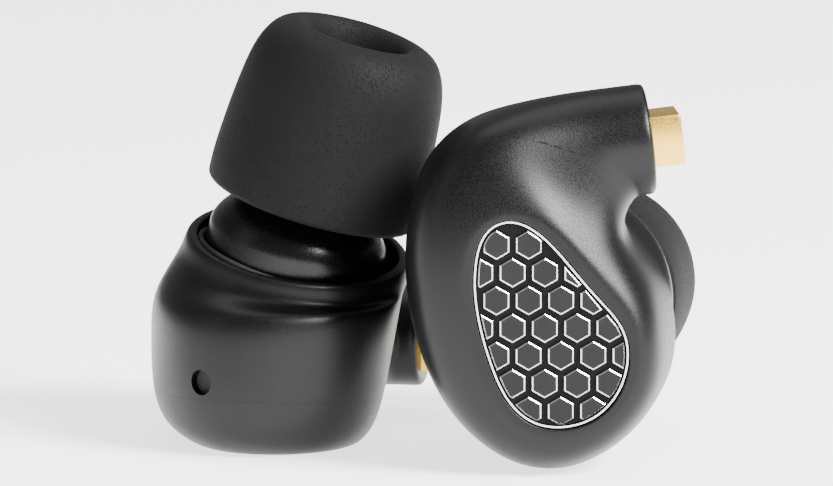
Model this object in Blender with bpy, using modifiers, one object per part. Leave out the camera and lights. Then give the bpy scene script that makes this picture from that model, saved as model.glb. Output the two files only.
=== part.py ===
"""A pair of in ear monitors with foam tips, as they stand beside each other on a table.

Each earpiece is modelled in its own frame: the face lies in the plane depth = 0, depth grows
towards the ear, and the nozzle leaves the rim at a slant. The left earpiece lies on its face with
the nozzle up, and the right one, its mirror image, stands on its belly with the face forward.
"""

import math

import bmesh
import bpy
from mathutils import Matrix, Vector

MM = 0.001

# Housing. The outlines are seen from behind the face, in millimetres, and run round from the front
# edge past the stem. Both have the same number of points, which the loft pairs.
HOUSING_OUTLINE = [
    (7.35, -2.6), (6.45, 0.9), (4.3, 3.7), (1.9, 6.2), (-0.6, 8.6), (-3.5, 10.1), (-6.2, 8.1), (-7.35, 5.0),
    (-7.65, 1.6), (-7.25, -1.8), (-6.2, -4.9), (-4.3, -7.7), (-1.4, -9.7), (1.9, -9.9), (5.0, -8.2), (6.9, -5.6)]
WINDOW_OUTLINE = [
    (4.98, -2.8), (4.5, -1.0), (3.2, 0.5), (1.75, 2.2), (0.3, 3.85), (-1.5, 5.0), (-3.2, 4.55), (-3.95, 2.9),
    (-4.05, 0.7), (-3.7, -1.4), (-3.1, -3.4), (-2.2, -5.4), (-0.7, -6.8), (1.2, -7.1), (3.1, -6.5), (4.5, -4.9)]
FACE_LAND = 0.5 * MM             # flat land round the window
FACE_MARGIN = 1.05 * MM          # where the face starts to roll over
CORNER_DEPTH = 1.0 * MM          # where the face has rolled over into the wall
CORNER_INSET = 0.6 * MM
BELT_DEPTH = 3.3 * MM            # where the wall begins to run straight
SHOULDER_DEPTH = 8.5 * MM        # where the wall turns in towards the rim
SHOULDER_LEAN = 1.0 * MM         # how far the front edge has leaned out at the shoulder
WALL = 1.35 * MM
FLOOR_DEPTH = 1.75 * MM          # inside of the face
PARTING_DEPTH = 2.45 * MM        # the joint between the two shells, on the axis of the housing
PARTING_TILT = math.radians(6.0)

# Rim, which is the mouth that the nozzle is set into
RIM_CENTRE = Vector((1.77, -1.34, 11.75)) * MM
RIM_NORMAL = Vector((0.198, -0.173, 0.965)).normalized()
RIM_RADIUS = 6.85 * MM
RIM_HEIGHT = 1.2 * MM
RIM_BORE_RADIUS = 5.95 * MM
LEDGE_DEPTH = 1.7 * MM           # from the rim down to the ledge that the nozzle stands on
LEDGE_THICKNESS = 0.8 * MM
LEDGE_OVERHANG = 0.7 * MM        # how far the ledge reaches in over the driver

# Stem, which carries the cable socket
STEM_END = Vector((6.45, 9.1, 5.0)) * MM
STEM_SLOPE = math.radians(7.0)
STEM_RADIUS = 3.25 * MM
STEM_TOP_RUN = 5.4 * MM          # how far back the stem stays round, on its outer side
STEM_BOTTOM_RUN = 1.3 * MM       # and on the side of the notch
STEM_LIP = 0.55 * MM

# Cable socket: two contacts in an insulator in a metal block
SOCKET_HEIGHT = 2.9 * MM
SOCKET_WIDTH = 4.3 * MM
SOCKET_LENGTH = 5.2 * MM
SOCKET_PROUD = 1.7 * MM
SOCKET_WALL = 0.4 * MM
SOCKET_EDGE = 0.12 * MM
CONTACT_PITCH = 2.0 * MM
CONTACT_RADIUS = 0.6 * MM
CONTACT_BORE = 0.39 * MM
CONTACT_LENGTH = 4.4 * MM
CHANNEL_RADIUS = 1.5 * MM

# Face inlay
RECESS_DEPTH = 1.0 * MM
INLAY_THICKNESS = 0.6 * MM
PAD_HEIGHT = 0.28 * MM
PAD_RADIUS = 0.84 * MM           # corner radius of a pad at its foot
PAD_CHAMFER = 0.1 * MM
PAD_GAP = 0.4 * MM
PAD_MARGIN = 0.3 * MM            # bare strip along the edge of the inlay

# Seal in the joint of the shells
SEAL_INSET = 0.9 * MM            # from the wall's outside, half way up the housing
SEAL_DRIFT = 0.4 * MM            # how much deeper it lies at the head, where the joint is nearer the face
SEAL_WIDTH = 0.36 * MM
SEAL_THICKNESS = 0.45 * MM

# Rear vent through the wall
VENT_POINT = Vector((-1.6, -9.6, 4.45)) * MM
VENT_NORMAL = Vector((-0.38, -0.925, 0.0)).normalized()
VENT_RADIUS = 0.75 * MM
VENT_FILTER_DEPTH = 0.55 * MM
VENT_FILTER_THICKNESS = 0.2 * MM

# Nozzle, turned about its own slanted axis. Heights are along that axis from the rim's centre.
NOZZLE_DIRECTION = Vector((0.293, -0.015, 0.956)).normalized()
NOZZLE_BASE_RADIUS = 5.45 * MM
NOZZLE_NECK_RADIUS = 2.95 * MM
NOZZLE_NECK_HEIGHT = 3.0 * MM
SPOUT_RADIUS = 2.6 * MM
SPOUT_LENGTH = 4.6 * MM
SPOUT_BARB = 0.26 * MM
SOUND_BORE_RADIUS = 1.9 * MM
NOZZLE_WALL = 0.85 * MM
FRONT_VENT_RADIUS = 0.3 * MM
FRONT_VENT_HEIGHT = 1.35 * MM
FRONT_VENT_TURN = math.radians(-22.0)
MESH_THICKNESS = 0.12 * MM
MESH_SEAT = 0.25 * MM
RING_SEAL_RADIUS = 0.19 * MM

# Ear tip
TIP_BASE_HEIGHT = 2.6 * MM
TIP_LENGTH = 10.6 * MM
TIP_RADIUS = 6.4 * MM
TIP_CREST_RADIUS = 3.7 * MM
TIP_MOUTH_RADIUS = 2.65 * MM
TIP_CORE_WALL = 0.4 * MM
TIP_CORE_LENGTH = 7.6 * MM

# Driver, which hangs under the ledge on the nozzle's axis
DRIVER_RADIUS = 5.0 * MM
COVER_THICKNESS = 0.2 * MM
COVER_HOLE_RADIUS = 0.55 * MM
COVER_HOLE_CIRCLE = 2.6 * MM
COVER_HOLES = 6
FRAME_HEIGHT = 1.9 * MM
FRAME_WALL = 0.55 * MM
FRAME_FLOOR = 0.45 * MM
YOKE_RADIUS = 3.42 * MM
YOKE_HEIGHT = 1.55 * MM
YOKE_WALL = 0.47 * MM
MAGNET_RADIUS = 2.3 * MM
MAGNET_THICKNESS = 0.7 * MM
POLE_RADIUS = 2.35 * MM
POLE_THICKNESS = 0.36 * MM
COIL_RADIUS = 2.5 * MM
COIL_THICKNESS = 0.25 * MM
COIL_HEIGHT = 1.05 * MM
COIL_TRAVEL = 0.2 * MM
DOME_RISE = 0.28 * MM
MEMBRANE_THICKNESS = 0.08 * MM
BOARD_RADIUS = 3.1 * MM
BOARD_THICKNESS = 0.3 * MM
RETAINER_WIDTH = 0.8 * MM
RETAINER_HEIGHT = 0.7 * MM
WIRE_RADIUS = 0.14 * MM

FIT = 0.05 * MM                  # gap between pieces that touch or slide in each other
MERGE = 0.002 * MM
SMOOTH_LEVELS = 1
ROUND = 20                       # sides of a large round piece
INNER_ROUND = 16                 # sides of a round piece inside the housing
SMALL_ROUND = 8                  # sides of a small one

# Where the earpieces stand
LEFT_YAW = math.radians(-17.0)
RIGHT_YAW = math.radians(2.5)
PAIR_SPACING = 15.6 * MM         # the right earpiece is this far to the right of the left one
PAIR_STAGGER = 16.1 * MM         # and its face this far in front of the left one's axis

for existing in list(bpy.data.objects):
    bpy.data.objects.remove(existing, do_unlink=True)

parts = bpy.data.collections.new("in_ear_monitors")
cutters = bpy.data.collections.new("cutters")
bpy.context.scene.collection.children.link(parts)
bpy.context.scene.collection.children.link(cutters)


def finish(name, colour, roughness, metallic=0.0):
    """Return a material with one Principled shader."""
    material = bpy.data.materials.new(name)
    material.use_nodes = True
    shader = material.node_tree.nodes["Principled BSDF"]
    shader.inputs["Base Color"].default_value = (*colour, 1.0)
    shader.inputs["Roughness"].default_value = roughness
    shader.inputs["Metallic"].default_value = metallic
    material.diffuse_color = (*colour, 1.0)
    return material


GUNMETAL = finish("blasted_gunmetal", (0.065, 0.067, 0.068), 0.45, 0.7)
DARK_METAL = finish("dark_satin_metal", (0.03, 0.031, 0.032), 0.35, 0.7)
INLAY_METAL = finish("inlay_metal", (0.05, 0.051, 0.053), 0.3, 0.8)
FOAM = finish("black_foam", (0.01, 0.01, 0.011), 0.95)
RUBBER = finish("black_rubber", (0.012, 0.012, 0.013), 0.7)
CORE_PLASTIC = finish("core_plastic", (0.02, 0.02, 0.022), 0.5)
GOLD = finish("gold_plate", (0.87, 0.62, 0.2), 0.35, 1.0)
STEEL_MESH = finish("steel_mesh", (0.25, 0.25, 0.26), 0.4, 1.0)
NICKEL = finish("nickel", (0.45, 0.44, 0.42), 0.35, 1.0)
FILM = finish("membrane_film", (0.5, 0.42, 0.25), 0.3)
COPPER = finish("copper_winding", (0.6, 0.25, 0.1), 0.35, 1.0)
BOARD = finish("board_green", (0.02, 0.12, 0.05), 0.5)


def add_object(name, data, parent, material):
    """Put an object in the parts collection, under its parent empty."""
    piece = bpy.data.objects.new(name, data)
    data.materials.clear()
    data.materials.append(material)
    piece.parent = parent
    parts.objects.link(piece)
    return piece


def add_cutter(name, data, parent):
    """Put an object in the cutters collection, shown as wire and left out of renders."""
    cutter = bpy.data.objects.new(name, data)
    cutter.parent = parent
    cutter.hide_render = True
    cutter.display_type = "WIRE"
    cutters.objects.link(cutter)
    return cutter


def add_empty(name, parent, location, rotation=None):
    """Add an empty that carries pieces, at a place and turn under its parent."""
    empty = bpy.data.objects.new(name, None)
    empty.empty_display_size = 2.0 * MM
    empty.parent = parent
    empty.location = location
    if rotation is not None:
        empty.rotation_euler = rotation.to_euler()
    parts.objects.link(empty)
    return empty


def boolean(target, other, operation="DIFFERENCE"):
    """Cut another object out of a piece, or join it on."""
    modifier = target.modifiers.new(operation.lower() + "_" + other.name, "BOOLEAN")
    modifier.object = other
    modifier.operation = operation
    modifier.solver = "EXACT"


def profile_mesh(name, profile, closed):
    """Return a mesh of edges along a profile of (radius, height) points."""
    mesh = bpy.data.meshes.new(name)
    edges = [(i, i + 1) for i in range(len(profile) - 1)]
    if closed:
        edges.append((len(profile) - 1, 0))
    mesh.from_pydata([(radius, 0.0, height) for radius, height in profile], edges, [])
    return mesh


def turn(piece, sides):
    """Turn a profile round the piece's own upright axis."""
    screw = piece.modifiers.new("turned", "SCREW")
    screw.axis = "Z"
    screw.angle = math.tau
    screw.steps = sides
    screw.render_steps = sides
    screw.use_merge_vertices = True
    screw.merge_threshold = MERGE
    screw.use_normal_calculate = False
    screw.use_smooth_shade = True


def turned_piece(name, profile, parent, material, sides=ROUND, closed=True):
    """Add a turned piece. The profile runs down its outer side and, if closed, up its bore."""
    piece = add_object(name, profile_mesh(name, profile, closed), parent, material)
    turn(piece, sides)
    return piece


def rod_mesh(name, radius, bottom, top, sides=ROUND):
    """Return a closed cylinder between two heights of its own upright axis."""
    bm = bmesh.new()
    bmesh.ops.create_cone(bm, cap_ends=True, segments=sides, radius1=radius, radius2=radius, depth=top - bottom,
                          matrix=Matrix.Translation((0, 0, (top + bottom) / 2)))
    mesh = bpy.data.meshes.new(name)
    bm.to_mesh(mesh)
    bm.free()
    return mesh


def box_mesh(name, size, centre, edge=0.0):
    """Return a box with its edges bevelled by a width."""
    bm = bmesh.new()
    bmesh.ops.create_cube(bm, size=1.0, matrix=Matrix.Translation(centre) @ Matrix.Diagonal((*size, 1.0)))
    if edge > 0:
        bmesh.ops.bevel(bm, geom=bm.edges[:], offset=edge, segments=1, profile=0.5, affect="EDGES")
    mesh = bpy.data.meshes.new(name)
    bm.to_mesh(mesh)
    bm.free()
    return mesh


def grow(outline, distance, drift=0.0):
    """Move each point of an outline outwards, square to its neighbours' chord.

    The drift is taken off at the top of the outline and added at its bottom.
    """
    highest = max(point[1] for point in outline)
    grown = []
    for i, point in enumerate(outline):
        before = Vector(outline[i - 1])
        after = Vector(outline[(i + 1) % len(outline)])
        along = (after - before).normalized()
        grown.append(Vector(point) + Vector((along.y, -along.x)) * (distance - drift * point[1] / highest))
    return grown


def loft_points(outline):
    """Push an outline's points out, so that the smoothed loft passes through the outline itself."""
    points = [Vector(point) for point in outline]
    count = len(points)
    return [points[i] + (2 * points[i] - points[i - 1] - points[(i + 1) % count]) / 6 for i in range(count)]


def metres(outline):
    """Return an outline given in millimetres as vectors in metres."""
    return [Vector(point) * MM for point in outline]


def belt_ring(depth, inset, lean):
    """Return the housing's outline at a depth, with its front edge leaned outwards."""
    reach = max(point[0] for point in HOUSING_OUTLINE) * MM
    ring = []
    for point in loft_points(grow(metres(HOUSING_OUTLINE), -inset)):
        ring.append(Vector((point.x + lean * max(0.0, point.x) / reach, point.y, depth)))
    return ring


def window_ring(depth, margin):
    """Return the window's outline, grown by a margin, at a depth."""
    return [Vector((point.x, point.y, depth)) for point in grow(metres(WINDOW_OUTLINE), margin)]


def circle_ring(centre, normal, radius, count, start):
    """Return a circle's points, which start at an angle in the face's plane."""
    across = Vector((math.cos(start), math.sin(start), 0.0))
    across = (across - normal * across.dot(normal)).normalized()
    beside = normal.cross(across)
    ring = []
    for i in range(count):
        angle = math.tau * i / count
        ring.append(centre + (across * math.cos(angle) + beside * math.sin(angle)) * radius)
    return ring


def between(first, second, share):
    """Return the ring that lies a share of the way from one ring to another."""
    return [a.lerp(b, share) for a, b in zip(first, second)]


def skin(bm, lower, upper, skipped=()):
    """Join two rings of vertices by four-sided faces, apart from the skipped columns."""
    for i in range(len(lower)):
        if i not in skipped:
            j = (i + 1) % len(lower)
            bm.faces.new((lower[i], lower[j], upper[j], upper[i]))


RIM_START = math.radians(-12.5)
STEM_ROWS = (3, 6)               # rows of the loft that the stem grows from
STEM_COLUMNS = (2, 5)            # and its columns


def stem_axes():
    """Return the stem's direction, its outer side, and the depth direction."""
    along = Vector((math.cos(STEM_SLOPE), math.sin(STEM_SLOPE), 0.0))
    return along, Vector((-along.y, along.x, 0.0)), Vector((0.0, 0.0, 1.0))


def stem_ring(top_back, bottom_back, radius):
    """Return one ring of the stem, set back from its end by one length outside and one at the notch."""
    along, outer, deep = stem_axes()
    ring = []
    for i in range(12):
        angle = math.radians(225.0 + 30.0 * i)
        share = (1.0 + math.cos(angle)) / 2.0
        back = bottom_back + (top_back - bottom_back) * share
        side = outer * math.cos(angle) + deep * math.sin(angle)
        ring.append(STEM_END - along * back + side * radius)
    return ring


def housing_mesh():
    """Loft the housing from the face over the belt to the rim, and grow the stem from its side."""
    count = len(HOUSING_OUTLINE)
    rim_low = circle_ring(RIM_CENTRE - RIM_NORMAL * RIM_HEIGHT, RIM_NORMAL, RIM_RADIUS * 1.02, count, RIM_START)
    shoulder = belt_ring(SHOULDER_DEPTH, 0.0, SHOULDER_LEAN)
    middle = (BELT_DEPTH + SHOULDER_DEPTH) / 2
    rings = [
        window_ring(0.0, -1.2 * MM),
        window_ring(0.0, FACE_LAND),
        window_ring(0.0, FACE_MARGIN),
        belt_ring(CORNER_DEPTH, CORNER_INSET, 0.0),
        belt_ring(BELT_DEPTH, 0.0, 0.0),
        belt_ring(middle, 0.0, SHOULDER_LEAN / 2),
        shoulder,
        between(shoulder, rim_low, 0.55),
        rim_low,
        circle_ring(RIM_CENTRE, RIM_NORMAL, RIM_RADIUS, count, RIM_START),
        circle_ring(RIM_CENTRE, RIM_NORMAL, RIM_BORE_RADIUS - 0.5 * MM, count, RIM_START)]
    bm = bmesh.new()
    rows = [[bm.verts.new(point) for point in ring] for ring in rings]
    first_row, last_row = STEM_ROWS
    first_column, last_column = STEM_COLUMNS
    for row in range(len(rows) - 1):
        skipped = range(first_column, last_column) if first_row <= row < last_row else ()
        skin(bm, rows[row], rows[row + 1], skipped)
    bm.faces.new(list(reversed(rows[0])))
    bm.faces.new(rows[-1])

    loop = [rows[first_row][i] for i in range(first_column, last_column)]
    loop += [rows[i][last_column] for i in range(first_row, last_row)]
    loop += [rows[last_row][i] for i in range(last_column, first_column, -1)]
    loop += [rows[i][first_column] for i in range(last_row, first_row, -1)]
    control_radius = STEM_RADIUS / math.cos(math.radians(15.0))
    for top_back, bottom_back, radius in (
            (STEM_TOP_RUN, STEM_BOTTOM_RUN, control_radius),
            (STEM_TOP_RUN / 2, STEM_LIP * 1.6, control_radius),
            (STEM_LIP, STEM_LIP, control_radius),
            (0.0, 0.0, control_radius),
            (0.0, 0.0, STEM_RADIUS - 0.85 * MM)):
        ring = [bm.verts.new(point) for point in stem_ring(top_back, bottom_back, radius)]
        skin(bm, loop, ring)
        loop = ring
    bm.faces.new(loop)
    mesh = bpy.data.meshes.new("housing")
    bm.to_mesh(mesh)
    bm.free()
    mesh.shade_smooth()
    return mesh


def cavity_mesh():
    """Loft the hollow inside the two shells."""
    count = len(HOUSING_OUTLINE)
    top = RIM_CENTRE - NOZZLE_DIRECTION * (LEDGE_DEPTH + LEDGE_THICKNESS + 0.9 * MM)
    ceiling = circle_ring(top, NOZZLE_DIRECTION, DRIVER_RADIUS - 0.4 * MM, count, RIM_START)
    high = SHOULDER_DEPTH - 1.6 * MM
    rings = [
        window_ring(FLOOR_DEPTH, -1.5 * MM),
        window_ring(FLOOR_DEPTH, 0.3 * MM),
        belt_ring(BELT_DEPTH - 0.3 * MM, WALL + 0.1 * MM, 0.0),
        belt_ring((BELT_DEPTH + high) / 2, WALL, 0.0),
        belt_ring(high, WALL, 0.0),
        ceiling]
    bm = bmesh.new()
    rows = [[bm.verts.new(point) for point in ring] for ring in rings]
    for row in range(len(rows) - 1):
        skin(bm, rows[row], rows[row + 1])
    bm.faces.new(list(reversed(rows[0])))
    bm.faces.new(rows[-1])
    mesh = bpy.data.meshes.new("cavity")
    bm.to_mesh(mesh)
    bm.free()
    return mesh


def smooth_loft(piece):
    """Round a loft by subdivision."""
    surface = piece.modifiers.new("smoothed", "SUBSURF")
    surface.levels = SMOOTH_LEVELS
    surface.render_levels = SMOOTH_LEVELS


def outline_curve(name, outlines, bottom, top, resolution=2):
    """Return a flat curve through closed outlines, filled and thickened between two depths."""
    curve = bpy.data.curves.new(name, "CURVE")
    curve.dimensions = "2D"
    curve.fill_mode = "BOTH"
    curve.extrude = (top - bottom) / 2
    curve.resolution_u = resolution
    curve.render_resolution_u = resolution
    for outline in outlines:
        spline = curve.splines.new("BEZIER")
        spline.bezier_points.add(len(outline) - 1)
        for knot, point in zip(spline.bezier_points, outline):
            knot.co = (point[0], point[1], 0.0)
            knot.handle_left_type = "AUTO"
            knot.handle_right_type = "AUTO"
        spline.use_cyclic_u = True
    return curve


def mesh_from_curve(name, curve, height):
    """Turn a filled curve into a closed mesh, moved to a height."""
    holder = bpy.data.objects.new(name, curve)
    bpy.context.scene.collection.objects.link(holder)
    evaluated = holder.evaluated_get(bpy.context.evaluated_depsgraph_get())
    mesh = bpy.data.meshes.new_from_object(evaluated)
    bpy.data.objects.remove(holder, do_unlink=True)
    bm = bmesh.new()
    bm.from_mesh(mesh)
    bmesh.ops.remove_doubles(bm, verts=bm.verts[:], dist=MERGE)
    bmesh.ops.translate(bm, verts=bm.verts[:], vec=(0.0, 0.0, height))
    bm.to_mesh(mesh)
    bm.free()
    return mesh


def plate_mesh(name, outlines, bottom, top):
    """Return a closed plate or ring cut from closed outlines between two depths."""
    return mesh_from_curve(name, outline_curve(name, outlines, bottom, top), (bottom + top) / 2)


def inside(point, outline):
    """Tell whether a flat point lies inside a closed outline."""
    crossings = 0
    for i in range(len(outline)):
        a, b = outline[i - 1], outline[i]
        if (a[1] > point[1]) != (b[1] > point[1]):
            if point[0] < a[0] + (point[1] - a[1]) * (b[0] - a[0]) / (b[1] - a[1]):
                crossings += 1
    return crossings % 2 == 1


def pad_places():
    """Return the honeycomb places whose pads lie at least half inside the inlay's field."""
    field = grow(metres(WINDOW_OUTLINE), -PAD_MARGIN - PAD_CHAMFER)
    pitch = PAD_RADIUS * math.sqrt(3.0) + PAD_GAP
    middle = sum(field, Vector((0.0, 0.0))) / len(field)
    places = []
    for row in range(-6, 7):
        for column in range(-6, 7):
            place = (middle.x + (column + 0.5 * (row % 2)) * pitch, middle.y + row * pitch * math.sqrt(3.0) / 2)
            if inside(place, field):
                places.append(place)
    return places


def pads_mesh(floor, top):
    """Return every pad of the inlay as a six-sided frustum, from inside the plate to its own top."""
    sunk = 0.1 * MM
    bm = bmesh.new()
    for x, y in pad_places():
        foot = Matrix.Translation((x, y, (floor + sunk + top + PAD_CHAMFER) / 2))
        turned_up = Matrix.Rotation(math.radians(30.0), 4, "Z") @ Matrix.Rotation(math.pi, 4, "X")
        made = bmesh.ops.create_cone(bm, cap_ends=True, segments=6, radius1=PAD_RADIUS, radius2=PAD_RADIUS,
                                     depth=floor + sunk - top - PAD_CHAMFER, matrix=foot @ turned_up)
        lid = [face for face in {f for v in made["verts"] for f in v.link_faces} if face.normal.z < -0.9]
        raised = bmesh.ops.extrude_face_region(bm, geom=lid)
        corners = [item for item in raised["geom"] if isinstance(item, bmesh.types.BMVert)]
        bmesh.ops.delete(bm, geom=lid, context="FACES_ONLY")
        bmesh.ops.translate(bm, verts=corners, vec=(0.0, 0.0, -PAD_CHAMFER))
        shrink = (PAD_RADIUS - PAD_CHAMFER) / PAD_RADIUS
        bmesh.ops.scale(bm, verts=corners, vec=(shrink, shrink, 1.0),
                        space=Matrix.Translation((-x, -y, 0.0)))
    mesh = bpy.data.meshes.new("pads")
    bm.to_mesh(mesh)
    bm.free()
    return mesh


def axis_turn(direction):
    """Return the turn that lays an upright axis along a direction."""
    return Vector((0.0, 0.0, 1.0)).rotation_difference(direction).to_matrix()


def make_housing(side, earpiece, axis, stem):
    """The two shells, the seal in their joint, the rear vent's filter and the inlay."""
    parting = add_empty(side + "_parting", earpiece, (0.0, 0.0, PARTING_DEPTH),
                        Matrix.Rotation(-PARTING_TILT, 3, "X"))
    vent = add_empty(side + "_vent_axis", earpiece, VENT_POINT, axis_turn(VENT_NORMAL))
    housing = housing_mesh()
    hollow = add_cutter(side + "_hollow", cavity_mesh(), earpiece)
    block = 60.0 * MM
    below = add_cutter(side + "_below_joint", box_mesh("below", (block, block, block), (0, 0, (FIT - block) / 2)),
                       parting)
    above = add_cutter(side + "_above_joint", box_mesh("above", (block, block, block), (0, 0, (block - FIT) / 2)),
                       parting)

    back = add_object(side + "_back_shell", housing, earpiece, GUNMETAL)
    face = add_object(side + "_face_shell", housing.copy(), earpiece, GUNMETAL)
    for shell in (back, face):
        smooth_loft(shell)
    boolean(back, below)
    boolean(face, above)
    boolean(back, hollow)
    boolean(face, hollow)

    ledge_top = -LEDGE_DEPTH
    ledge_bottom = -LEDGE_DEPTH - LEDGE_THICKNESS
    driver_bore = DRIVER_RADIUS + 2 * FIT
    mouth = add_cutter(side + "_mouth", rod_mesh("mouth", RIM_BORE_RADIUS, ledge_top, 4.0 * MM, ROUND), axis)
    throat = add_cutter(side + "_throat", rod_mesh("throat", driver_bore - LEDGE_OVERHANG, -4.0 * MM, 0.0, INNER_ROUND), axis)
    seat = add_cutter(side + "_driver_bore", rod_mesh("seat", driver_bore, -6.4 * MM, ledge_bottom, ROUND), axis)
    pocket_size = (SOCKET_LENGTH, SOCKET_HEIGHT + 2 * FIT, SOCKET_WIDTH + 2 * FIT)
    pocket = add_cutter(side + "_socket_pocket",
                        box_mesh("pocket", pocket_size, (SOCKET_PROUD - SOCKET_LENGTH / 2 - FIT, 0, 0), SOCKET_EDGE),
                        stem)
    channel_start = STEM_END - stem_axes()[0] * (SOCKET_LENGTH - SOCKET_PROUD - 0.6 * MM)
    channel_end = Vector((-0.6, 4.6, STEM_END.z / MM)) * MM
    channel_way = channel_end - channel_start
    channel_axis = add_empty(side + "_channel_axis", earpiece, channel_start, axis_turn(channel_way))
    channel = add_cutter(side + "_wire_channel", rod_mesh("channel", CHANNEL_RADIUS, 0.0, channel_way.length, 10),
                         channel_axis)
    vent_hole = add_cutter(side + "_vent_hole", rod_mesh("vent", VENT_RADIUS, -2.6 * MM, 2.0 * MM, SMALL_ROUND), vent)
    groove_width = SEAL_WIDTH + 2 * FIT
    outline = metres(HOUSING_OUTLINE)
    groove = add_cutter(side + "_seal_groove",
                        plate_mesh("groove", [grow(outline, FIT - SEAL_INSET, SEAL_DRIFT),
                                              grow(outline, FIT - SEAL_INSET - groove_width, SEAL_DRIFT)],
                                   -FIT, SEAL_THICKNESS + FIT), parting)
    for cutter in (mouth, throat, seat, pocket, channel, vent_hole, groove):
        boolean(back, cutter)

    recess = add_cutter(side + "_inlay_recess",
                        plate_mesh("recess", [metres(WINDOW_OUTLINE)], -2.0 * MM, RECESS_DEPTH), earpiece)
    boolean(face, recess)

    add_object(side + "_shell_seal",
               plate_mesh("seal", [grow(outline, -SEAL_INSET, SEAL_DRIFT),
                                   grow(outline, -SEAL_INSET - SEAL_WIDTH, SEAL_DRIFT)],
                          0.0, SEAL_THICKNESS), parting, RUBBER)

    plate_floor = RECESS_DEPTH - FIT - INLAY_THICKNESS
    inlay = add_object(side + "_face_inlay",
                       plate_mesh("inlay", [grow(metres(WINDOW_OUTLINE), -FIT)], plate_floor, RECESS_DEPTH - FIT),
                       earpiece, INLAY_METAL)
    pads = add_cutter(side + "_inlay_pads", pads_mesh(plate_floor, plate_floor - PAD_HEIGHT), earpiece)
    field = add_cutter(side + "_inlay_field",
                       plate_mesh("field", [grow(metres(WINDOW_OUTLINE), -PAD_MARGIN)], -1.0 * MM, RECESS_DEPTH),
                       earpiece)
    boolean(pads, field, "INTERSECT")
    boolean(inlay, pads, "UNION")

    add_object(side + "_vent_filter",
               rod_mesh("filter", VENT_RADIUS - FIT, -VENT_FILTER_DEPTH - VENT_FILTER_THICKNESS,
                        -VENT_FILTER_DEPTH, SMALL_ROUND), vent, STEEL_MESH)


def make_nozzle(side, earpiece, axis):
    """The nozzle with its flared foot, the ring seal round it and the mesh in its mouth."""
    foot = FIT - LEDGE_DEPTH
    top = NOZZLE_NECK_HEIGHT + SPOUT_LENGTH
    barb = SPOUT_RADIUS + SPOUT_BARB
    flare = []
    for step in range(5):
        share = step / 4
        radius = NOZZLE_NECK_RADIUS + (NOZZLE_BASE_RADIUS - 0.35 * MM - NOZZLE_NECK_RADIUS) * share ** 1.35
        flare.append((radius, NOZZLE_NECK_HEIGHT * (1.0 - share)))
    profile = [
        (SPOUT_RADIUS - 0.15 * MM, top), (SPOUT_RADIUS, top - 0.15 * MM), (barb, top - 1.1 * MM),
        (barb, top - 1.3 * MM), (SPOUT_RADIUS, top - 1.6 * MM), (SPOUT_RADIUS, NOZZLE_NECK_HEIGHT + 0.3 * MM),
        *flare,
        (NOZZLE_BASE_RADIUS - 0.1 * MM, -0.2 * MM), (NOZZLE_BASE_RADIUS, -0.5 * MM),
        (NOZZLE_BASE_RADIUS, foot),
        (NOZZLE_BASE_RADIUS - NOZZLE_WALL, foot), (NOZZLE_BASE_RADIUS - NOZZLE_WALL, -0.6 * MM),
        (SOUND_BORE_RADIUS + 0.3 * MM, NOZZLE_NECK_HEIGHT - 0.7 * MM),
        (SOUND_BORE_RADIUS, NOZZLE_NECK_HEIGHT), (SOUND_BORE_RADIUS, top - MESH_SEAT - MESH_THICKNESS),
        (SOUND_BORE_RADIUS + 0.25 * MM, top - MESH_SEAT - MESH_THICKNESS), (SOUND_BORE_RADIUS + 0.25 * MM, top)]
    nozzle = turned_piece(side + "_nozzle", profile, axis, DARK_METAL, ROUND)
    vent_mouth = add_empty(side + "_front_vent_axis", axis, (0.0, 0.0, FRONT_VENT_HEIGHT),
                           Matrix.Rotation(FRONT_VENT_TURN, 3, "Z") @ Matrix.Rotation(math.radians(60.0), 3, "Y"))
    front_vent = add_cutter(side + "_front_vent",
                            rod_mesh("front_vent", FRONT_VENT_RADIUS, 2.6 * MM, 8.0 * MM, 8), vent_mouth)
    boolean(nozzle, front_vent)

    ring_radius = (NOZZLE_BASE_RADIUS + RIM_BORE_RADIUS) / 2
    seal = add_object(side + "_nozzle_seal", profile_mesh("seal_ring", [
        (ring_radius + RING_SEAL_RADIUS * math.sin(math.tau * k / 6),
         foot + RING_SEAL_RADIUS * (1.0 + math.cos(math.tau * k / 6))) for k in range(6)], True),
        axis, RUBBER)
    turn(seal, ROUND)

    mesh_radius = SOUND_BORE_RADIUS + 0.25 * MM - FIT
    mesh_low = top - MESH_SEAT - MESH_THICKNESS + FIT / 2
    add_object(side + "_nozzle_mesh", rod_mesh("wax_mesh", mesh_radius, mesh_low, mesh_low + MESH_THICKNESS, 16),
               axis, STEEL_MESH)


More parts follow.
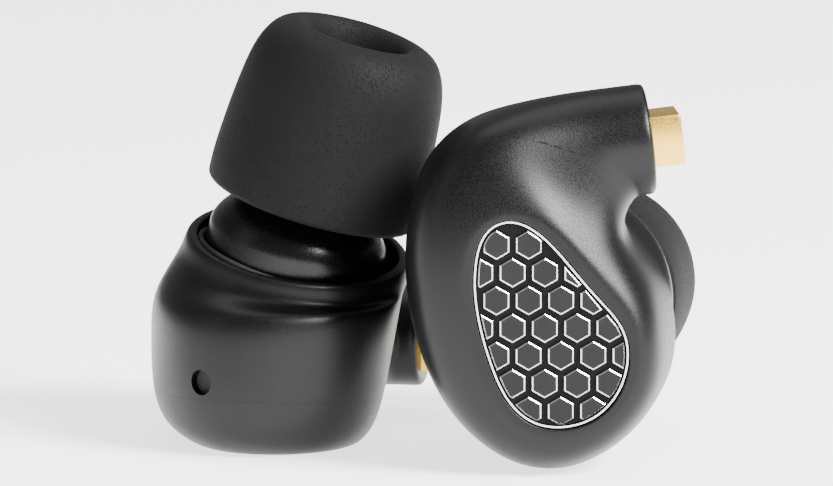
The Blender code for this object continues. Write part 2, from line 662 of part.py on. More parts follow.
def make_tip(side, axis):
    """The foam tip and the plastic core that grips the spout."""
    core_bore = SPOUT_RADIUS + SPOUT_BARB + FIT
    core_radius = core_bore + TIP_CORE_WALL
    base = TIP_BASE_HEIGHT
    crest = base + TIP_LENGTH
    core_base = base + 0.55 * MM
    core_top = core_base + TIP_CORE_LENGTH
    body = []
    for height_share, radius_share in ((0.975, 0.71), (0.92, 0.81), (0.82, 0.89), (0.68, 0.94),
                                       (0.45, 0.98), (0.2, 1.0), (0.05, 0.995)):
        body.append((TIP_RADIUS * radius_share, base + TIP_LENGTH * height_share))
    foam = [
        (TIP_CREST_RADIUS, crest),
        *body,
        (TIP_RADIUS - 0.35 * MM, base), (core_radius + FIT, base),
        (core_radius + FIT, core_top + FIT), (TIP_MOUTH_RADIUS, core_top + FIT),
        (TIP_MOUTH_RADIUS, crest - 1.3 * MM), (TIP_MOUTH_RADIUS + 0.25 * MM, crest - 0.55 * MM),
        (TIP_CREST_RADIUS - 0.45 * MM, crest - 0.12 * MM)]
    turned_piece(side + "_foam_tip", foam, axis, FOAM, 24)
    core = [(core_radius, core_top), (core_radius, core_base), (core_bore, core_base),
            (core_bore, core_top - 0.5 * MM), (core_bore - 0.3 * MM, core_top)]
    turned_piece(side + "_tip_core", core, axis, CORE_PLASTIC, ROUND)


def make_driver(side, axis):
    """The moving-coil driver, from its cover under the ledge to the ring that holds it up."""
    cover_top = -LEDGE_DEPTH - LEDGE_THICKNESS - FIT
    frame_top = cover_top - COVER_THICKNESS - FIT
    frame_bottom = frame_top - FRAME_HEIGHT
    yoke_top = frame_bottom + FRAME_FLOOR + 0.3 * MM
    yoke_bottom = yoke_top - YOKE_HEIGHT
    yoke_floor = yoke_bottom + YOKE_WALL
    magnet_top = yoke_floor + FIT + MAGNET_THICKNESS
    pole_top = magnet_top + FIT + POLE_THICKNESS
    coil_top = yoke_top + COIL_TRAVEL + 0.35 * MM

    cover = add_object(side + "_driver_cover",
                       rod_mesh("cover", DRIVER_RADIUS - FIT, cover_top - COVER_THICKNESS, cover_top, INNER_ROUND),
                       axis, NICKEL)
    holes = bmesh.new()
    for k in range(COVER_HOLES):
        angle = math.tau * k / COVER_HOLES
        place = (COVER_HOLE_CIRCLE * math.cos(angle), COVER_HOLE_CIRCLE * math.sin(angle), cover_top)
        bmesh.ops.create_cone(holes, cap_ends=True, segments=6, radius1=COVER_HOLE_RADIUS, radius2=COVER_HOLE_RADIUS,
                              depth=4 * COVER_THICKNESS, matrix=Matrix.Translation(place))
    holes_mesh = bpy.data.meshes.new("cover_holes")
    holes.to_mesh(holes_mesh)
    holes.free()
    boolean(cover, add_cutter(side + "_cover_holes", holes_mesh, axis))

    turned_piece(side + "_driver_frame", [
        (DRIVER_RADIUS, frame_top), (DRIVER_RADIUS, frame_bottom), (YOKE_RADIUS + FIT, frame_bottom),
        (YOKE_RADIUS + FIT, frame_bottom + FRAME_FLOOR), (DRIVER_RADIUS - FRAME_WALL, frame_bottom + FRAME_FLOOR),
        (DRIVER_RADIUS - FRAME_WALL, frame_top)], axis, NICKEL, INNER_ROUND)

    turned_piece(side + "_yoke", [
        (0.0, yoke_floor), (YOKE_RADIUS - YOKE_WALL, yoke_floor), (YOKE_RADIUS - YOKE_WALL, yoke_top),
        (YOKE_RADIUS, yoke_top), (YOKE_RADIUS, yoke_bottom), (0.0, yoke_bottom)], axis, NICKEL, INNER_ROUND, False)
    add_object(side + "_magnet", rod_mesh("magnet", MAGNET_RADIUS, yoke_floor + FIT, magnet_top, INNER_ROUND), axis, NICKEL)
    add_object(side + "_pole_plate", rod_mesh("pole", POLE_RADIUS, magnet_top + FIT, pole_top, INNER_ROUND), axis, NICKEL)

    coil_outer = COIL_RADIUS + COIL_THICKNESS
    turned_piece(side + "_voice_coil", [
        (coil_outer, coil_top - FIT), (coil_outer, coil_top - COIL_HEIGHT), (COIL_RADIUS, coil_top - COIL_HEIGHT),
        (COIL_RADIUS, coil_top - FIT)], axis, COPPER, INNER_ROUND)
    edge_radius = DRIVER_RADIUS - FRAME_WALL - 2 * FIT
    upper = []
    for step in range(3):
        share = step / 2
        upper.append((coil_outer * share, coil_top + MEMBRANE_THICKNESS + DOME_RISE * (1.0 - share ** 2)))
    surround = (coil_outer + edge_radius) / 2
    upper += [(surround, coil_top + MEMBRANE_THICKNESS + DOME_RISE / 2), (edge_radius, coil_top + MEMBRANE_THICKNESS)]
    lower = [(radius, height - MEMBRANE_THICKNESS) for radius, height in reversed(upper)]
    turned_piece(side + "_diaphragm", upper + lower, axis, FILM, INNER_ROUND, False)

    board_top = yoke_bottom - FIT
    add_object(side + "_terminal_board",
               rod_mesh("board", BOARD_RADIUS, board_top - BOARD_THICKNESS, board_top, 16), axis, BOARD)
    ring_top = frame_bottom - FIT
    turned_piece(side + "_driver_retainer", [
        (DRIVER_RADIUS + FIT, ring_top), (DRIVER_RADIUS + FIT, ring_top - RETAINER_HEIGHT),
        (DRIVER_RADIUS - RETAINER_WIDTH, ring_top - RETAINER_HEIGHT), (DRIVER_RADIUS - RETAINER_WIDTH, ring_top)],
        axis, GUNMETAL, INNER_ROUND)
    return board_top - BOARD_THICKNESS


def make_socket(side, stem):
    """The gold block in the stem's end, its insulator and the two contacts."""
    middle = SOCKET_PROUD - SOCKET_LENGTH / 2
    block = add_object(side + "_socket_block",
                       box_mesh("block", (SOCKET_LENGTH, SOCKET_HEIGHT, SOCKET_WIDTH), (middle + FIT, 0, 0),
                                SOCKET_EDGE), stem, GOLD)
    bore_size = (SOCKET_LENGTH * 2, SOCKET_HEIGHT - 2 * SOCKET_WALL, SOCKET_WIDTH - 2 * SOCKET_WALL)
    bore = add_cutter(side + "_socket_bore", box_mesh("bore", bore_size, (middle, 0, 0)), stem)
    boolean(block, bore)
    core_length = SOCKET_LENGTH - 0.3 * MM
    core_size = (core_length, bore_size[1] - 2 * FIT, bore_size[2] - 2 * FIT)
    core = add_object(side + "_socket_insulator", box_mesh("core", core_size, (middle + FIT - 0.05 * MM, 0, 0)),
                      stem, CORE_PLASTIC)
    quarter = Matrix.Rotation(math.radians(90.0), 3, "Y")
    for label, place in (("positive", CONTACT_PITCH / 2), ("negative", -CONTACT_PITCH / 2)):
        line = add_empty(side + "_" + label + "_line", stem, (middle + FIT - 0.05 * MM, 0.0, place), quarter)
        hole = add_cutter(side + "_" + label + "_hole",
                          rod_mesh("hole", CONTACT_RADIUS + FIT, -SOCKET_LENGTH, SOCKET_LENGTH, SMALL_ROUND), line)
        boolean(core, hole)
        half = CONTACT_LENGTH / 2
        turned_piece(side + "_contact_" + label, [
            (CONTACT_RADIUS, half), (CONTACT_RADIUS, -half), (CONTACT_BORE, -half), (CONTACT_BORE, half)],
            line, GOLD, SMALL_ROUND)


def smooth_route(route, per_span):
    """Return points on a smooth curve through a route's own points."""
    points = []
    last = len(route) - 1
    for i in range(last):
        p0, p1 = route[max(i - 1, 0)], route[i]
        p2, p3 = route[i + 1], route[min(i + 2, last)]
        for step in range(per_span):
            t = step / per_span
            points.append(0.5 * (2 * p1 + (p2 - p0) * t + (2 * p0 - 5 * p1 + 4 * p2 - p3) * t * t
                                 + (3 * p1 - p0 - 3 * p2 + p3) * t * t * t))
    points.append(route[last])
    return points


def make_wire(side, label, earpiece, route):
    """One lead from the terminal board through the channel to its contact."""
    curve = bpy.data.curves.new(side + "_wire_" + label, "CURVE")
    curve.dimensions = "3D"
    curve.bevel_depth = WIRE_RADIUS
    curve.bevel_resolution = 1
    curve.use_fill_caps = True
    spline = curve.splines.new("POLY")
    points = smooth_route(route, 2)
    spline.points.add(len(points) - 1)
    for knot, point in zip(spline.points, points):
        knot.co = (*point, 1.0)
    add_object(side + "_wire_" + label, curve, earpiece, COPPER)


def make_wires(side, earpiece, board_height):
    """Both leads. Each leaves the board's underside and ends in the open back of its contact."""
    along = stem_axes()[0]
    contact_back = STEM_END + along * (SOCKET_PROUD - SOCKET_LENGTH / 2 - CONTACT_LENGTH / 2)
    turn_back = axis_turn(NOZZLE_DIRECTION)
    for label, place in (("positive", 1.0), ("negative", -1.0)):
        pad = RIM_CENTRE + turn_back @ Vector((0.8 * place * MM, BOARD_RADIUS - 0.5 * MM, board_height - WIRE_RADIUS))
        end = contact_back + Vector((0.0, 0.0, place * CONTACT_PITCH / 2)) + along * 0.2 * MM
        spread = Vector((0.0, 0.0, place * 0.75 * MM))
        route = [
            pad - Vector((0.0, 0.5 * MM, 0.3 * MM)),
            pad + Vector((0.0, 1.2 * MM, -0.6 * MM)),
            Vector((0.1, 5.1, STEM_END.z / MM)) * MM + spread,
            STEM_END - along * (SOCKET_LENGTH - SOCKET_PROUD + 0.9 * MM) + spread * 1.1 - Vector((0, 0.45 * MM, 0)),
            end - along * 0.5 * MM,
            end]
        make_wire(side, label, earpiece, route)


def make_earpiece(side, location, rotation, mirrored):
    """One whole earpiece under its empty."""
    earpiece = add_empty(side + "_earpiece", None, location, rotation)
    if mirrored:
        earpiece.scale = (1.0, 1.0, -1.0)
    axis = add_empty(side + "_nozzle_axis", earpiece, RIM_CENTRE, axis_turn(NOZZLE_DIRECTION))
    stem = add_empty(side + "_stem_axis", earpiece, STEM_END, Matrix.Rotation(STEM_SLOPE, 3, "Z"))
    make_housing(side, earpiece, axis, stem)
    make_nozzle(side, earpiece, axis)
    make_tip(side, axis)
    board_height = make_driver(side, axis)
    make_socket(side, stem)
    make_wires(side, earpiece, board_height)
    return earpiece


def stand_on_origin(earpieces):
    """Set each earpiece down on the ground, then centre the pair over the origin."""
    bpy.context.view_layer.update()
    graph = bpy.context.evaluated_depsgraph_get()
    spans = []
    for earpiece in earpieces:
        corners = []
        for piece in parts.objects:
            if piece.type != "EMPTY" and piece.name.startswith(earpiece.name.split("_")[0]):
                mesh = piece.evaluated_get(graph).to_mesh()
                corners += [piece.matrix_world @ vertex.co for vertex in mesh.vertices]
        lowest = min(corner.z for corner in corners)
        earpiece.location.z -= lowest
        spans += corners
    shift_x = (min(corner.x for corner in spans) + max(corner.x for corner in spans)) / 2
    shift_y = (min(corner.y for corner in spans) + max(corner.y for corner in spans)) / 2
    for earpiece in earpieces:
        earpiece.location.x -= shift_x
        earpiece.location.y -= shift_y
    bpy.context.view_layer.update()


left = make_earpiece("left", (0.0, 0.0, 0.0), Matrix.Rotation(LEFT_YAW, 3, "Z"), False)
right = make_earpiece("right", (PAIR_SPACING, -PAIR_STAGGER, 0.0),
                      Matrix.Rotation(RIGHT_YAW, 3, "Z") @ Matrix.Rotation(math.radians(90.0), 3, "X"), True)
stand_on_origin((left, right))
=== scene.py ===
import math
import bmesh
import bpy
from mathutils import Matrix, Vector, noise


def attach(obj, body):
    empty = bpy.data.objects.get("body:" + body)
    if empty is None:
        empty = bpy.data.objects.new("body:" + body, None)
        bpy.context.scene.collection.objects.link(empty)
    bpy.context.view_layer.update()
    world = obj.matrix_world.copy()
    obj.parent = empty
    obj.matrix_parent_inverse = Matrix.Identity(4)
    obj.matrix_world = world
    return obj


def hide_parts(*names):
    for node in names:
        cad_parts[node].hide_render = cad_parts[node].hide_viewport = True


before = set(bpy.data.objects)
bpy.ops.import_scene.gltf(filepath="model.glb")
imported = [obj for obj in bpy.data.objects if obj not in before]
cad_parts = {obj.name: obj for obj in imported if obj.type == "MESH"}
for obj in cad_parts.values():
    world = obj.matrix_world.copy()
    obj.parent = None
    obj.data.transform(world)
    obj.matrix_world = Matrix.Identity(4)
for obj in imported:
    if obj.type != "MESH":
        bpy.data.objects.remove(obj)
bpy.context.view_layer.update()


# Table, studio light and camera. The pair stands on a white table under one large soft light from
# the right, with weaker ones from the left and behind. The camera looks from the front, a little
# above the table, through a long lens.
TABLE_DROP = 0.00003
TABLE_REACH = 0.9
TABLE_GLOW = 2.1

bm = bmesh.new()
bmesh.ops.create_grid(bm, x_segments=2, y_segments=2, size=TABLE_REACH,
                      matrix=Matrix.Translation((0.0, 0.0, -TABLE_DROP)))
table_mesh = bpy.data.meshes.new("table")
bm.to_mesh(table_mesh)
bm.free()
table = bpy.data.objects.new("table", table_mesh)
bpy.context.collection.objects.link(table)
table_white = bpy.data.materials.new("table_white")
table_white.use_nodes = True
table_shader = table_white.node_tree.nodes["Principled BSDF"]
table_shader.inputs["Base Color"].default_value = (0.86, 0.86, 0.86, 1.0)
table_shader.inputs["Roughness"].default_value = 0.9
table_shader.inputs["Emission Color"].default_value = (1.0, 1.0, 1.0, 1.0)
table_shader.inputs["Emission Strength"].default_value = TABLE_GLOW
table.data.materials.append(table_white)

world = bpy.data.worlds.new("studio")
world.use_nodes = True
world.node_tree.nodes["Background"].inputs["Color"].default_value = (1.0, 1.0, 1.0, 1.0)
world.node_tree.nodes["Background"].inputs["Strength"].default_value = 0.3
bpy.context.scene.world = world


def hang_light(name, place, aim, width, height, power):
    """Hang a soft rectangular light and turn it towards a point."""
    lamp = bpy.data.lights.new(name, "AREA")
    lamp.shape = "RECTANGLE"
    lamp.size = width
    lamp.size_y = height
    lamp.energy = power
    holder = bpy.data.objects.new(name, lamp)
    holder.location = place
    holder.rotation_euler = (Vector(aim) - Vector(place)).to_track_quat("-Z", "Y").to_euler()
    bpy.context.collection.objects.link(holder)


hang_light("key_light", (0.46, -0.32, 0.42), (0.0, 0.0, 0.012), 0.28, 0.28, 22.0)
hang_light("left_light", (-0.55, -0.2, 0.3), (0.0, 0.0, 0.012), 0.3, 0.5, 0.3)
hang_light("top_light", (0.0, 0.15, 0.6), (0.0, 0.0, 0.0), 0.5, 0.4, 1.6)

camera_lens = bpy.data.cameras.new("camera")
camera_lens.lens = 265.0
camera_lens.sensor_width = 36.0
camera_lens.clip_start = 0.01
camera = bpy.data.objects.new("camera", camera_lens)
camera.location = (-0.000528, -0.360094, 0.062461)
camera.rotation_euler = (math.radians(82.0), 0.0, 0.0)
bpy.context.collection.objects.link(camera)
bpy.context.scene.camera = camera


# Face shell and back shell. Both are machined from aluminium, bead blasted and anodised a dark
# gunmetal. The back shell carries the stem for the cable socket and the rim that the nozzle stands
# in. The face shell is a shallow lid, with a recess for the inlay.
LEFT_YAW = math.radians(-17.0)
RIGHT_YAW = math.radians(2.5)
STANCES = {
    "left": Matrix.Translation((-0.008846, 0.002628, 0.0)) @ Matrix.Rotation(LEFT_YAW, 4, "Z")
            @ Matrix.Scale(0.001, 4),
    "right": Matrix.Translation((0.006754, -0.013472, 0.010024)) @ Matrix.Rotation(RIGHT_YAW, 4, "Z")
             @ Matrix.Rotation(math.radians(90.0), 4, "X") @ Matrix.Diagonal((0.001, 0.001, -0.001, 1.0))}
HOUSING_OUTLINE = [
    (7.35, -2.6), (6.45, 0.9), (4.3, 3.7), (1.9, 6.2), (-0.6, 8.6), (-3.5, 10.1), (-6.2, 8.1),
    (-7.35, 5.0), (-7.65, 1.6), (-7.25, -1.8), (-6.2, -4.9), (-4.3, -7.7), (-1.4, -9.7), (1.9, -9.9),
    (5.0, -8.2), (6.9, -5.6)]
WINDOW_OUTLINE = [
    (4.98, -2.8), (4.5, -1.0), (3.2, 0.5), (1.75, 2.2), (0.3, 3.85), (-1.5, 5.0), (-3.2, 4.55),
    (-3.95, 2.9), (-4.05, 0.7), (-3.7, -1.4), (-3.1, -3.4), (-2.2, -5.4), (-0.7, -6.8), (1.2, -7.1),
    (3.1, -6.5), (4.5, -4.9)]
FACE_LAND = 0.5
FACE_MARGIN = 1.05
CORNER_DEPTH = 1.0
CORNER_INSET = 0.6
BELT_DEPTH = 3.3
SHOULDER_DEPTH = 8.5
SHOULDER_LEAN = 1.0
WALL = 1.35
FLOOR_DEPTH = 1.75
PARTING_DEPTH = 2.45
PARTING_TILT = math.radians(6.0)
SEAL_INSET = 0.9
SEAL_DRIFT = 0.4
SEAL_WIDTH = 0.36
RECESS_DEPTH = 1.0
RECESS_EDGE = 0.09
RIM_CENTRE = Vector((1.77, -1.34, 11.75))
RIM_NORMAL = Vector((0.198, -0.173, 0.965)).normalized()
RIM_RADIUS = 6.68
RIM_BORE = 5.95
NOZZLE_DIRECTION = Vector((0.293, -0.015, 0.956)).normalized()
LEDGE_DEPTH = 1.7
STEM_END = Vector((6.45, 9.1, 5.0))
STEM_SLOPE = math.radians(7.0)
STEM_RADIUS = 3.25
SOCKET_SIZE = Vector((5.2, 2.9, 4.3))
SOCKET_PROUD = 1.7
VENT_POINT = Vector((-1.6, -9.6, 4.45))
VENT_DIRECTION = Vector((-0.38, -0.925, 0.0)).normalized()
VENT_RADIUS = 0.75
THROAT_RADIUS = 4.4
DRIVER_BORE_RADIUS = 5.1
CHANNEL_RADIUS = 1.5
JOINT_GAP = 0.006
FIT = 0.05


class Shade:
    """One shader value. Sums and products of it add the Math nodes they need."""

    def __init__(self, tree, socket):
        self.tree = tree
        self.socket = socket

    def node(self, kind, settings, values, output=0):
        """Add a node, set it up, fill its sockets with numbers or links, and return one output."""
        made = self.tree.nodes.new(kind)
        for name, value in settings.items():
            if name == "stops":
                ramp = made.color_ramp.elements
                for index, (place, tone) in enumerate(value):
                    stop = ramp[index] if index < 2 else ramp.new(place)
                    stop.position = place
                    stop.color = (tone, tone, tone, 1.0)
            else:
                setattr(made, name, value)
        for name, value in values.items():
            if isinstance(value, Shade):
                self.tree.links.new(value.socket, made.inputs[name])
            else:
                made.inputs[name].default_value = value
        return Shade(self.tree, made.outputs[output])

    def math(self, operation, first, second=0.0):
        return self.node("ShaderNodeMath", {"operation": operation}, {0: first, 1: second})

    def __add__(self, other):
        return self.math("ADD", self, other)

    __radd__ = __add__

    def __sub__(self, other):
        return self.math("SUBTRACT", self, other)

    def __rsub__(self, other):
        return self.math("SUBTRACT", other, self)

    def __mul__(self, other):
        return self.math("MULTIPLY", self, other)

    __rmul__ = __mul__

    def speckle(self, size, detail=2.0):
        """Cloudy noise with blotches of a size in metres."""
        values = {"Vector": self, "Scale": 1.0 / size, "Detail": detail}
        return self.node("ShaderNodeTexNoise", {}, values, "Fac")

    def between(self, low, high, first, second):
        """Turn the range from low to high into the range from first to second."""
        return self.node("ShaderNodeMapRange", {}, {"Value": self, "From Min": low, "From Max": high,
                                                    "To Min": first, "To Max": second})

    def tint(self, first, second):
        """Mix two colours by this value."""
        return self.node("ShaderNodeMix", {"data_type": "RGBA"}, {0: self, 6: first, 7: second}, 2)


def new_finish(name, metallic, roughness, colour):
    """Start a material, and return it with its shader and the place on the piece."""
    material = bpy.data.materials.new(name)
    material.use_nodes = True
    shader = material.node_tree.nodes["Principled BSDF"]
    shader.inputs["Metallic"].default_value = metallic
    shader.inputs["Roughness"].default_value = roughness
    shader.inputs["Base Color"].default_value = (*colour, 1.0)
    place = material.node_tree.nodes.new("ShaderNodeTexCoord")
    return material, shader, Shade(material.node_tree, place.outputs["Object"])


def feed(shader, **values):
    """Link values to the sockets of a shader."""
    for name, value in values.items():
        value.tree.links.new(value.socket, shader.inputs[name.replace("_", " ")])


def relief(height, depth, strength=1.0):
    """Raise a surface by a height map, to a depth in metres."""
    return height.node("ShaderNodeBump", {}, {"Height": height, "Distance": depth, "Strength": strength})


def blasted_metal(name, tone, roughness, grain):
    """Bead blasted metal: fine even dimples, a few of them glinting, and a faint cloudiness."""
    material, shader, place = new_finish(name, 0.92, roughness, (tone, tone, tone))
    dimples = place.speckle(grain, 1.0)
    clouds = place.speckle(0.004)
    feed(shader, Base_Color=(dimples * 0.6 + clouds * 0.4).tint((tone * 0.72, tone * 0.73, tone * 0.75, 1.0),
                                                               (tone * 1.28, tone * 1.28, tone * 1.27, 1.0)),
         Roughness=dimples.between(0.35, 0.7, roughness - 0.07, roughness + 0.07),
         Normal=relief(dimples, 0.000012, 0.45))
    return material


gunmetal = blasted_metal("blasted_gunmetal", 0.022, 0.4, 0.00009)


def grow(outline, distance, drift=0.0):
    """Move each point of an outline outwards, less at its top and more at its bottom by the drift."""
    highest = max(point[1] for point in outline)
    grown = []
    for i, point in enumerate(outline):
        along = (Vector(outline[(i + 1) % len(outline)]) - Vector(outline[i - 1])).normalized()
        grown.append(Vector(point) + Vector((along.y, -along.x)) * (distance - drift * point[1] / highest))
    return grown


def pushed(outline):
    """Push an outline's points out, so that the smoothed loft passes through the outline itself."""
    count = len(outline)
    return [outline[i] + (2 * outline[i] - outline[i - 1] - outline[(i + 1) % count]) / 6
            for i in range(count)]


def at_depth(outline, depth):
    return [Vector((point.x, point.y, depth)) for point in outline]


def belt(depth, inset, lean):
    """The housing's outline at a depth, with its front edge leaned out."""
    reach = max(point[0] for point in HOUSING_OUTLINE)
    outline = pushed(grow(HOUSING_OUTLINE, -inset))
    return [Vector((point.x + lean * max(0.0, point.x) / reach, point.y, depth)) for point in outline]


def hoop(centre, normal, radius, slope=None):
    """A ring of sixteen points for the loft. With a slope, it is cut level with that plane."""
    start = math.radians(-12.5)
    radius *= 3.0 / (2.0 + math.cos(math.tau / 16))
    across = Vector((math.cos(start), math.sin(start), 0.0))
    across = (across - normal * across.dot(normal)).normalized()
    beside = normal.cross(across)
    points = []
    for i in range(16):
        angle = math.tau * i / 16
        out = (across * math.cos(angle) + beside * math.sin(angle)) * radius
        if slope:
            out -= normal * (out.dot(slope) / normal.dot(slope))
        points.append(centre + out)
    return points


def first_ring(bm, points):
    """Lay a closed ring of edges through points."""
    row = bmesh.ops.create_circle(bm, segments=len(points), radius=1.0)["verts"]
    for vertex, point in zip(row, points):
        vertex.co = point
    return row


def draw_on(bm, row, points):
    """Extrude a ring of edges to new points, and return the new ring in the same order."""
    edges = []
    for i, vertex in enumerate(row):
        after = row[(i + 1) % len(row)]
        edges.append(next(edge for edge in vertex.link_edges if edge.other_vert(vertex) is after))
    made = bmesh.ops.extrude_edge_only(bm, edges=edges)["geom"]
    fresh = {item for item in made if isinstance(item, bmesh.types.BMVert)}
    drawn = []
    for vertex, point in zip(row, points):
        twin = next(edge.other_vert(vertex) for edge in vertex.link_edges if edge.other_vert(vertex) in fresh)
        twin.co = point
        drawn.append(twin)
    return drawn


def loft(bm, rings):
    """Draw a closed body through rings, and cap both ends."""
    rows = [first_ring(bm, rings[0])]
    for points in rings[1:]:
        rows.append(draw_on(bm, rows[-1], points))
    bmesh.ops.contextual_create(bm, geom=rows[0])
    bmesh.ops.contextual_create(bm, geom=rows[-1])
    return rows


def as_object(bm, name):
    """Turn a shape into an object for a modifier, and free it."""
    bmesh.ops.recalc_face_normals(bm, faces=bm.faces[:])
    mesh = bpy.data.meshes.new(name)
    bm.to_mesh(mesh)
    bm.free()
    piece = bpy.data.objects.new(name, mesh)
    bpy.context.collection.objects.link(piece)
    return piece


def settle(piece):
    """Apply an object's modifiers, remove it, and return its shape."""
    graph = bpy.context.evaluated_depsgraph_get()
    bm = bmesh.new()
    bm.from_mesh(piece.evaluated_get(graph).to_mesh())
    bpy.data.objects.remove(piece, do_unlink=True)
    return bm


def smoothed(bm, levels):
    piece = as_object(bm, "loft")
    surface = piece.modifiers.new("round", "SUBSURF")
    surface.levels = levels
    surface.render_levels = levels
    return settle(piece)


def carve(bm, *cutters):
    """Cut a shape with others, which are used up."""
    piece = as_object(bm, "carved")
    tools = [as_object(cutter, "cutter") for cutter in cutters]
    for tool in tools:
        cut = piece.modifiers.new("cut", "BOOLEAN")
        cut.operation = "DIFFERENCE"
        cut.solver = "EXACT"
        cut.object = tool
    result = settle(piece)
    for tool in tools:
        bpy.data.objects.remove(tool, do_unlink=True)
    return result


def aligned(centre, direction):
    """The turn and move that lay an upright shape along a direction."""
    turn = Vector((0.0, 0.0, 1.0)).rotation_difference(direction)
    return Matrix.Translation(centre) @ turn.to_matrix().to_4x4()


def rod(radius, bottom, top, pose=Matrix(), sides=96):
    bm = bmesh.new()
    middle = Matrix.Translation((0.0, 0.0, (top + bottom) / 2))
    bmesh.ops.create_cone(bm, cap_ends=True, segments=sides, radius1=radius, radius2=radius,
                          depth=top - bottom, matrix=pose @ middle)
    return bm


def block(size, pose=Matrix(), edge=0.0, steps=1):
    bm = bmesh.new()
    bmesh.ops.create_cube(bm, size=1.0, matrix=Matrix.Diagonal((*size, 1.0)))
    if edge:
        bmesh.ops.bevel(bm, geom=bm.edges[:], offset=edge, segments=steps, profile=0.5, affect="EDGES",
                        material=-1)
    bmesh.ops.transform(bm, matrix=pose, verts=bm.verts)
    return bm


def set_down(bm, node, body, slot, *materials, sharp=32.0, padded=None):
    """Place a finished shape in both earpieces. It stands for its CAD node there and rides with its body."""
    bmesh.ops.recalc_face_normals(bm, faces=bm.faces[:])
    for side, stance in STANCES.items():
        copy = bm.copy()
        bmesh.ops.transform(copy, matrix=stance, verts=copy.verts)
        if stance.determinant() < 0.0:
            bmesh.ops.reverse_faces(copy, faces=copy.faces[:])
        mesh = bpy.data.meshes.new(f"{side}_fine_{node}")
        copy.to_mesh(mesh)
        copy.free()
        mesh.shade_smooth()
        mesh.set_sharp_from_angle(angle=math.radians(sharp))
        for material in materials:
            mesh.materials.append(material)
        piece = bpy.data.objects.new(mesh.name, mesh)
        bpy.context.collection.objects.link(piece)
        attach(piece, f"{side}_{body}")
        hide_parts(f"{side}_{node}")
    bm.free()


stem_along = Vector((math.cos(STEM_SLOPE), math.sin(STEM_SLOPE), 0.0))
stem_outer = Vector((-stem_along.y, stem_along.x, 0.0))
stem_deep = Vector((0.0, 0.0, 1.0))
stem_turn = Matrix((stem_along, stem_outer, stem_deep)).transposed().to_4x4()
stem_pose = Matrix.Translation(STEM_END) @ stem_turn
nozzle_pose = aligned(RIM_CENTRE, NOZZLE_DIRECTION)
vent_pose = aligned(VENT_POINT, VENT_DIRECTION)
joint_pose = Matrix.Translation((0.0, 0.0, PARTING_DEPTH)) @ Matrix.Rotation(-PARTING_TILT, 4, "X")


def window(depth, margin):
    return at_depth(pushed(grow(WINDOW_OUTLINE, margin)), depth)


rim_low = hoop(RIM_CENTRE - RIM_NORMAL * 1.2, RIM_NORMAL, RIM_RADIUS * 1.02)
shoulder = belt(SHOULDER_DEPTH, 0.0, SHOULDER_LEAN)
housing = bmesh.new()
rows = loft(housing, [
    window(RECESS_DEPTH, -1.2), window(RECESS_DEPTH, -0.1), window(RECESS_DEPTH, 0.0),
    window(RECESS_DEPTH - 0.1, 0.0),
    window(RECESS_EDGE, 0.0), window(RECESS_EDGE * 0.15, RECESS_EDGE * 0.15), window(0.0, RECESS_EDGE),
    at_depth(grow(WINDOW_OUTLINE, FACE_LAND), 0.0), at_depth(grow(WINDOW_OUTLINE, FACE_MARGIN), 0.0),
    belt(CORNER_DEPTH, CORNER_INSET, 0.0), belt(BELT_DEPTH, 0.0, 0.0),
    belt((BELT_DEPTH + SHOULDER_DEPTH) / 2, 0.0, SHOULDER_LEAN / 2), shoulder,
    [a.lerp(b, 0.55) for a, b in zip(shoulder, rim_low)], rim_low,
    hoop(RIM_CENTRE, RIM_NORMAL, RIM_RADIUS),
    hoop(RIM_CENTRE, RIM_NORMAL, RIM_BORE + 0.15),
    hoop(RIM_CENTRE - RIM_NORMAL * 0.15, NOZZLE_DIRECTION, RIM_BORE, RIM_NORMAL),
    hoop(RIM_CENTRE - NOZZLE_DIRECTION * (LEDGE_DEPTH - 0.12), NOZZLE_DIRECTION, RIM_BORE),
    hoop(RIM_CENTRE - NOZZLE_DIRECTION * LEDGE_DEPTH, NOZZLE_DIRECTION, RIM_BORE),
    hoop(RIM_CENTRE - NOZZLE_DIRECTION * LEDGE_DEPTH, NOZZLE_DIRECTION, RIM_BORE - 0.12),
    hoop(RIM_CENTRE - NOZZLE_DIRECTION * LEDGE_DEPTH, NOZZLE_DIRECTION, RIM_BORE - 0.9)])

# The stem grows out of a patch of the side, between two rings of the loft and points 2 to 5 of each.
first, last = 9, 12
root = [rows[first][i] for i in range(2, 5)] + [rows[i][5] for i in range(first, last)]
root += [rows[last][i] for i in range(5, 2, -1)] + [rows[i][2] for i in range(last, first, -1)]
patch = [face for face in housing.faces
         if all(any(corner in rows[i][2:6] for i in range(first, last + 1)) for corner in face.verts)]
bmesh.ops.delete(housing, geom=patch, context="FACES_ONLY")
inner_edges = [edge for edge in housing.edges if not edge.link_faces and not
               (edge.verts[0] in root and edge.verts[1] in root)]
bmesh.ops.delete(housing, geom=inner_edges, context="EDGES")
loose = [vertex for vertex in housing.verts if not vertex.link_edges]
bmesh.ops.delete(housing, geom=loose, context="VERTS")
cage_radius = STEM_RADIUS / math.cos(math.radians(15.0))
stem_rings = [(5.4, 1.3, cage_radius), (2.7, 0.88, cage_radius), (0.55, 0.55, cage_radius),
              (0.0, 0.0, cage_radius), (0.0, 0.0, STEM_RADIUS - 0.85)]
for top_back, bottom_back, radius in stem_rings:
    points = []
    for i in range(12):
        angle = math.radians(225.0 + 30.0 * i)
        back = bottom_back + (top_back - bottom_back) * (1.0 + math.cos(angle)) / 2.0
        points.append(STEM_END - stem_along * back
                      + (stem_outer * math.cos(angle) + stem_deep * math.sin(angle)) * radius)
    root = draw_on(housing, root, points)
bmesh.ops.contextual_create(housing, geom=root)
housing = smoothed(housing, 3)

